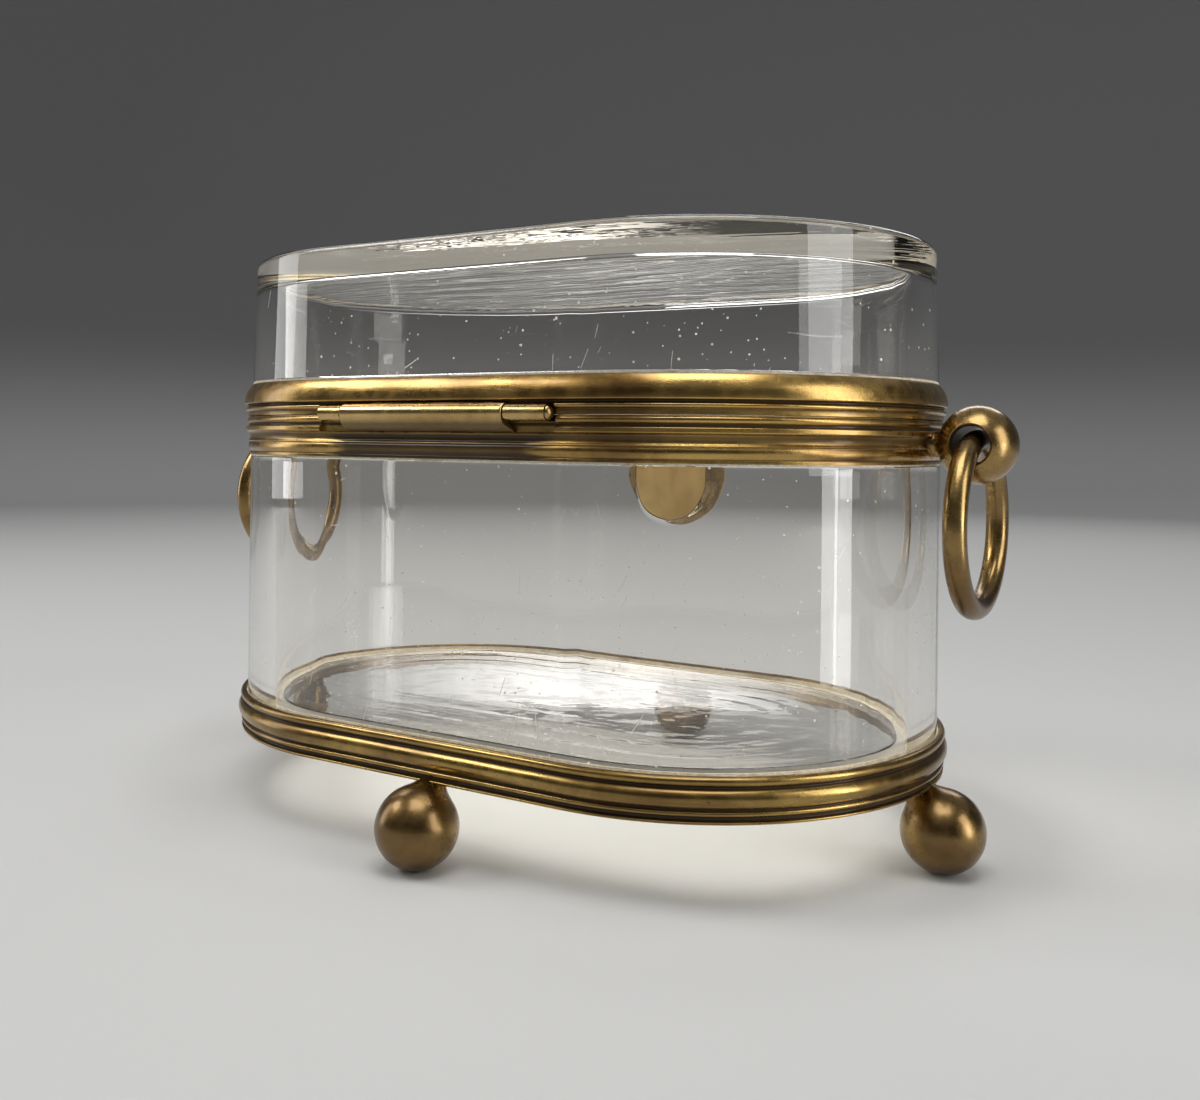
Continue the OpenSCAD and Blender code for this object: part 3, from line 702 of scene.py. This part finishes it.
def turned(profile_r, profile_s, centre, axis, side, steps=96, wobble=0.0, closed=False, darkening=0.0):
    """Turns a profile about an axis: at each distance s along the axis a circle of radius r, with a
    slight wobble of a few waves round it. side is a direction square to the axis, and the last
    argument says how far each point of the profile is darkened: painted shade at the neck of a
    foot, and darker inside the bore of a drilled ball."""
    axis, side = np.array(axis, float), np.array(side, float)
    other = np.cross(axis, side)
    turn = once_round(steps)
    r, s = np.asarray(profile_r)[:, None], np.asarray(profile_s)[:, None]
    r = r * (1 - wobble * (0.5 + 0.5 * np.sin(2 * turn + s) * np.cos(3 * turn - s / 2)))
    points = (np.array(centre) + s[..., None] * axis
              + r[..., None] * (np.cos(turn)[:, None] * side + np.sin(turn)[:, None] * other))
    depth = np.broadcast_to(darkening, len(points))[:, None]
    return grid_mesh("turned", points, wrap_rows=closed, attributes={"hollow": depth})


def turned_about_z(mesh, degrees):
    """Turns a mesh about the middle of the box."""
    mesh.transform(Matrix.Rotation(math.radians(degrees), 4, "Z"))
    return mesh


def foot_mesh(reach):
    """Ball foot on a leaning axis: a sphere, then a hollow curve up into the neck. The curve is the
    cubic that leaves the sphere and meets the neck with their own slopes."""
    lean = math.atan2(STUD_IN, FRAME_Z - FOOT_R)
    leave, span, end = 5.3, 2.5, 8.8        # where the curve starts, its length, end of the neck
    s = np.linspace(-np.pi / 2, math.asin(leave / FOOT_R), 44)
    ball_s, ball_r = FOOT_R * np.sin(s), FOOT_R * np.cos(s)
    t = np.linspace(0, 1, 22)[1:]
    r0, slope0, slope1 = ball_r[-1], -ball_s[-1] / ball_r[-1] * span, -0.15 * span
    neck_r = ((2 * t ** 3 - 3 * t ** 2 + 1) * r0 + (t ** 3 - 2 * t ** 2 + t) * slope0
              + (3 * t ** 2 - 2 * t ** 3) * NECK_R + (t ** 3 - t ** 2) * slope1)
    r = np.concatenate([[0], ball_r[1:], neck_r, [NECK_R - 0.05, 0]])
    along = np.concatenate([[-FOOT_R], ball_s[1:], leave + span * t, [end, end]])
    # painted shade: the neck darkens towards the frame it stands under
    darkening = 0.16 * np.clip((along - 6.4) / 1.6, 0, 1)
    return turned(r, along, (reach, 0, FOOT_R), (-math.sin(lean), 0, math.cos(lean)), (0, 1, 0),
                  wobble=0.004, darkening=darkening)


for word, degrees, half in (("right", 0, HALF), ("back", 90, 0), ("left", 180, HALF),
                            ("front", 270, 0)):
    piece("ball_foot_" + word, turned_about_z(foot_mesh(half + GLASS_R + FOOT_OUT), degrees),
          body="case", replaces=["foot_" + word], slot="brass", material=brass["ball_brass"],
          smooth_below=50)


def knob_meshes():
    """Drilled ball: an arc from one mouth of the bore to the other, softened lips and the bore,
    turned about the bore; and its neck, a hollow curve turned about the long axis."""
    lip = math.radians(57.0)
    s = np.linspace(-lip, lip, 60)
    edge_r, edge_y = KNOB_R * math.cos(lip), KNOB_R * math.sin(lip)
    lips = [(edge_r - 0.10, edge_y - 0.02), (edge_r - 0.22, edge_y - 0.12),
            (BORE_R + 0.06, edge_y - 0.34), (BORE_R, edge_y - 0.62)]
    bore = [(BORE_R, y) for y in np.linspace(edge_y - 1.0, -edge_y + 1.0, 12)]
    ring = np.array([(KNOB_R * math.cos(a), KNOB_R * math.sin(a)) for a in s] + lips + bore
                    + [(r, -y) for r, y in reversed(lips)])
    # the bore and the inner lips darker
    darkening = 0.24 * np.clip((BORE_R + 0.3 - ring[:, 0]) / 0.3, 0, 1)
    ball = turned(*ring.T, (KNOB_X, 0, KNOB_Z), (0, 1, 0), (0, 0, 1), 112, closed=True, darkening=darkening)
    root, end, waist = 68.6, 71.6, 70.0
    x = np.linspace(root, end, 16)
    neck_r = NECK_R + 0.42 * ((x - waist) / 1.2) ** 2
    neck = turned(np.concatenate([[0], neck_r, [0]]), np.concatenate([[root], x, [end]]),
                  (0, 0, KNOB_Z), (1, 0, 0), (0, 1, 0), 48)
    return ball, neck


def ring_mesh():
    """Ring handle: a round wire carried round a circle, a little uneven, and rubbed thinner on its
    inner side where it hangs in the ball."""
    turn, face = once_round(192)[:, None], once_round(40)[None, :]
    hung = np.exp(-(np.minimum(turn, 2 * np.pi - turn) / 0.42) ** 2)
    worn = 0.09 * hung * np.clip(-np.cos(face), 0, 1) ** 2
    wire = WIRE_R * (1 - worn - 0.006 * (1 + np.sin(5 * turn + 1) * np.cos(2 * face + turn)))
    out = RING_R + wire * np.cos(face)
    points = np.stack([KNOB_X + wire * np.sin(face), out * np.sin(turn),
                       RING_Z + out * np.cos(turn)], axis=-1)
    return grid_mesh("ring", points)


for word, degrees in (("right", 0), ("left", 180)):
    piece("drilled_ball_" + word, *[turned_about_z(mesh, degrees) for mesh in knob_meshes()],
          body="case", replaces=["handle_knob_" + word], slot="brass",
          material=brass["ball_brass"], smooth_below=40)
    piece("ring_handle_" + word, turned_about_z(ring_mesh(), degrees), body="ring_" + word,
          replaces=["ring_" + word], slot="brass", material=brass["ball_brass"], smooth_below=60)

# ---------- hinge ----------


def reach_of(outline, turn):
    """Distance from the origin at which a ray of each direction leaves a closed outline: the
    furthest of its crossings with the outline's sides."""
    a, b = outline, np.roll(outline, -1, axis=0)
    d = np.stack([np.cos(turn), np.sin(turn)], axis=-1)[:, None, :]
    e = (b - a)[None]
    cross = d[..., 0] * e[..., 1] - d[..., 1] * e[..., 0]
    cross = np.where(np.abs(cross) < 1e-12, 1e-12, cross)
    far = (a[None, :, 0] * e[..., 1] - a[None, :, 1] * e[..., 0]) / cross
    along = (a[None, :, 0] * d[..., 1] - a[None, :, 1] * d[..., 0]) / cross
    return np.where((along >= 0) & (along <= 1) & (far > 0), far, 0).max(axis=1)


def softened(values):
    """Gaussian blur of values that run once round an outline."""
    weights = np.exp(-0.5 * (np.arange(-6, 7) / 1.1) ** 2)
    return np.convolve(np.concatenate([values[-6:], values, values[:6]]),
                       weights / weights.sum(), mode="valid")


def middle_knuckle_mesh():
    """Long knuckle with its apron and bevelled strip: the outline furthest out from a point low in
    the barrel, carried along the pin, rounded at the ends and bored for the pin. The strip rises
    out of the barrel by a smooth step near each of its ends. The apron's lower corner runs on
    under the outer knuckle at the -X end, on a slant."""
    heart = np.array([-0.25, -0.45])
    barrel_r, apron_r, apron_low, pin_r = 1.6, 3.25, -3.0, 0.65
    strip_low, strip_high = -13.2, 12.3
    turn = once_round(144)
    cos, sin = np.cos(turn), np.sin(turn)

    def along_pin(x, r, centre):
        """Rings of the given radius about a centre, in millimetres from the pin's middle."""
        return np.stack(np.broadcast_arrays(x, PIN_Y + centre[0] + r * cos,
                                            PIN_Z + centre[1] + r * sin), axis=-1)

    barrel = barrel_r * np.stack([cos, sin], axis=-1)
    sweep = np.linspace(-math.acos(0.7 / apron_r) - 0.001, 0, 40)
    apron = np.stack([-1.7 + apron_r * np.cos(sweep), apron_r * np.sin(sweep)], axis=-1)
    apron = np.vstack([[[-1, apron_low]], apron[apron[:, 1] > apron_low], [[-1, 0]]])
    strip = np.array([[-0.5, 0.9], [1.05, 0.3], [1.33, 0.85], [0.1, 1.72], [-0.5, 1.72]])
    plain = np.maximum(reach_of(barrel - heart, turn), reach_of(apron - heart, turn))
    lifted = softened(np.maximum(plain, reach_of(strip - heart, turn)))
    plain = softened(plain)
    x = np.unique(np.concatenate([spaced(MIDDLE_LOW + 0.25, MIDDLE_HIGH - 0.25, 0.6),
                                  spaced(strip_low - 0.5, strip_low + 0.5, 0.1),
                                  spaced(strip_high - 0.5, strip_high + 0.5, 0.1)]))
    past_strip = np.abs(x - (strip_low + strip_high) / 2) - (strip_high - strip_low) / 2
    waver = 0.012 * np.sin(x / 2.3 + 0.6) + 0.008 * np.sin(x / 0.9)
    body = (plain + (lifted - plain) * eased(-past_strip / 0.10)[:, None]
            + waver[:, None] * np.sin(turn * 2 + 1) - 0.012)
    bevel, sunk = np.array([0.0, 0.03, 0.11, 0.22]), [0.30, 0.16, 0.06, 0.0]
    x_all = np.concatenate([MIDDLE_LOW + bevel, x, MIDDLE_HIGH - bevel[::-1]])[:, None]
    shrink = np.concatenate([sunk, np.zeros(x.size), sunk[::-1]])[:, None]
    r_all = np.vstack([np.tile(body[0], (4, 1)), body, np.tile(body[-1], (4, 1))]) - shrink
    drop = -heart[1] - r_all * sin
    slant = (1.4 * np.clip((drop - 1.5) / 1.5, 0, 1)
             * np.clip((MIDDLE_LOW + 3 - x_all) / 3, 0, 1))
    low_r = np.minimum(r_all[0], np.where(sin < 0, 1.05 / np.maximum(-sin, 0.01), np.inf))
    bore_x = np.array([MIDDLE_HIGH, MIDDLE_HIGH - 0.1, 0.0, MIDDLE_LOW + 0.1, MIDDLE_LOW])
    bore_r = pin_r + np.array([0.07, 0, 0, 0, 0.07])[:, None]
    points = np.concatenate([along_pin(x_all - slant, r_all, heart),
                             along_pin(bore_x[:, None], bore_r, (0, 0)),
                             along_pin(MIDDLE_LOW, low_r[None, :], heart)])
    # painted shade: the apron darker towards its lower edge, which faces down
    apron_shade = 0.155 * np.clip((PIN_Z - 0.2 - points[..., 2]) / 1.6, 0, 1)
    return grid_mesh("middle_knuckle", points, attributes={"hollow": apron_shade})


piece("middle_knuckle", middle_knuckle_mesh(), body="case", replaces=["hinge_body_leaf"],
      slot="brass", material=brass["hinge_brass"], smooth_below=32)

# ---------- lock ----------


def hanging_plate(width, top, bottom, steps):
    """Outline that hangs from a straight top and ends in a half circle."""
    r = width / 2
    sweep = np.linspace(np.pi, 2 * np.pi, steps)
    low = np.stack([r * np.cos(sweep), bottom + r + r * np.sin(sweep)], axis=-1)
    return np.vstack([low, [[r, top], [-r, top]]])


def lock_plate_mesh():
    """Plate over the notch: from the keyhole outline across the face to the edge, over a bevel,
    round the back and through the keyhole again. The keyhole is a round eye with a slot below."""
    width, top, low, key_z = 25.5, 65.5, 50.8, 60.5
    eye_r, slot_half, slot_end = 1.5, 0.75, -4
    front, back = -43.55, -42.77
    corner = [math.atan2(top - key_z, side * width / 2) for side in (1, -1)]
    turn = np.sort(np.concatenate([once_round(360), [c + d for c in corner
                                                     for d in (-0.003, 0.003)]]))
    edge = reach_of(hanging_plate(width, top, low, 120) - np.array([0.0, key_z]), turn)
    sweep = once_round(120)
    eye = reach_of(eye_r * np.stack([np.cos(sweep), np.sin(sweep)], axis=-1), turn)
    slot = reach_of(np.array([[-slot_half, slot_end], [slot_half, slot_end],
                              [slot_half, 0.1], [-slot_half, 0.1]]), turn)
    hole = np.maximum(eye, slot)
    rows = [(hole + 0.10, front), (hole + 0.5 * (edge - hole), front), (edge - 0.35, front),
            (edge - 0.15, front + 0.06), (edge - 0.02, front + 0.22), (edge, back),
            (hole + 0.4, back), (hole, back), (hole, front + 0.1)]
    radius, y = (np.stack([row[at] + 0 * turn for row in rows]) for at in (0, 1))
    points = np.stack([radius * np.cos(turn), y, key_z + radius * np.sin(turn)], axis=-1)
    return grid_mesh("lock_plate", points)


piece("keyhole_plate", lock_plate_mesh(), body="case", replaces=["lock_plate"], slot="brass",
      material=brass["hinge_brass"], smooth_below=30)

# ---------- the rest ----------

for stuff, nodes in ((cement, ("base_bedding", "body_bedding", "lid_bedding")),
                     (brass["hinge_brass"], ("hinge_lid_leaf", "hinge_pin")),
                     (brass["lit_lock_brass"], ("lock_case", "lid_catch"))):
    for node in nodes:
        dress(node, stuff)

# ---------- stage, lamps and camera ----------


def pale_bowl():
    """Round floor that curves up into a wall, darker with height: a profile in metres turned once
    round."""
    s = np.linspace(0, 1, 25) * np.pi / 2
    reach, bend = 1.1, 0.4          # where the wall starts to rise, and its bend
    radius = np.concatenate([[0.0001, 0.3, 0.8, reach], reach + bend * np.sin(s), [1.5, 1.5]])
    height = np.concatenate([[0, 0, 0, 0], bend - bend * np.cos(s), [0.7, 1.0]])
    turn = once_round(96)
    points = np.stack([radius[:, None] * np.cos(turn), radius[:, None] * np.sin(turn),
                       height[:, None] + 0 * turn], axis=-1)
    mesh = grid_mesh("bowl", points / MM, wrap_rows=False)
    mesh.flip_normals()
    mesh.polygons.foreach_set("use_smooth", np.ones(len(mesh.polygons), dtype=bool))
    made = bpy.data.objects.new("bowl", mesh)
    bpy.context.scene.collection.objects.link(made)
    stuff, tree, shader, place = material("pale_paper")
    up = add(tree, "ShaderNodeSeparateXYZ", Vector=place).outputs["Z"]
    colour = tint(tree, between(tree, up, 0.0, 0.22), (0.62, 0.62, 0.61, 1), (0.25, 0.25, 0.255, 1))
    fill(tree, shader, Base_Color=colour, Roughness=0.9, Specular_IOR_Level=0.1)
    mesh.materials.append(stuff)


def softbox(name, place, aim, width, height, watts, spread=180):
    """Area lamp at a place, facing what it is aimed at, with a grid that narrows it to a spread in
    degrees. The camera doesn't see it."""
    data = bpy.data.lights.new(name, "AREA")
    data.shape, data.size, data.size_y, data.energy = "RECTANGLE", width, height, watts
    data.spread = math.radians(spread)
    made = bpy.data.objects.new(name, data)
    made.location = place
    made.rotation_mode = "QUATERNION"
    made.rotation_quaternion = (Vector(aim) - Vector(place)).to_track_quat("-Z", "Y")
    made.visible_camera = False
    bpy.context.scene.collection.objects.link(made)


def eye():
    """Camera at the height of the closing line, looking level at the hinge side and rolled by a
    small angle."""
    place, roll = (-0.1247, 0.1929, 0.069), 0.01164
    forward, right = Vector((0.5254, -0.8508, 0)), Vector((-0.8508, -0.5254, 0))
    up = Vector((0, 0, 1))
    axes = (math.cos(roll) * right + math.sin(roll) * up,
            -math.sin(roll) * right + math.cos(roll) * up, -forward)
    data = bpy.data.cameras.new("eye")
    data.lens, data.sensor_width, data.shift_y = 35.68, 36.0, -0.0904
    data.clip_start, data.clip_end = 0.01, 10
    made = bpy.data.objects.new("eye", data)
    made.matrix_world = Matrix.Translation(place) @ Matrix(axes).transposed().to_4x4()
    bpy.context.scene.collection.objects.link(made)
    bpy.context.scene.camera = made


pale_bowl()
softbox("top_box", (-0.10, 0.16, 0.72), (0, 0, 0.05), 0.42, 0.42, 2.4)
softbox("key_box", (0.50, 0.32, 0.56), (0, 0.03, 0.07), 0.30, 0.22, 1.5)
softbox("left_box", (0.92, 0.30, 0.30), (0, 0, 0.06), 0.32, 0.60, 1.5)
softbox("right_box", (-0.80, 0.02, 0.34), (0, 0, 0.06), 0.34, 0.60, 2.1)
softbox("far_box", (0.15, -0.85, 0.60), (0, 0, 0.06), 0.70, 0.25, 1.6)
softbox("right_strip", (-0.212, 0.005, 0.039), (-0.06, 0.02, 0.039), 0.028, 0.074, 0.0045, 60)
softbox("low_glow", (0.66, -1.12, 0.275), (0, 0, 0.02), 1.4, 0.07, 0.017, 30)
world = bpy.data.worlds.new("room")
world.use_nodes = True
world.node_tree.nodes["Background"].inputs["Color"].default_value = (0.24, 0.24, 0.245, 1)
bpy.context.scene.world = world
eye()
bpy.context.scene.view_settings.view_transform = "Standard"
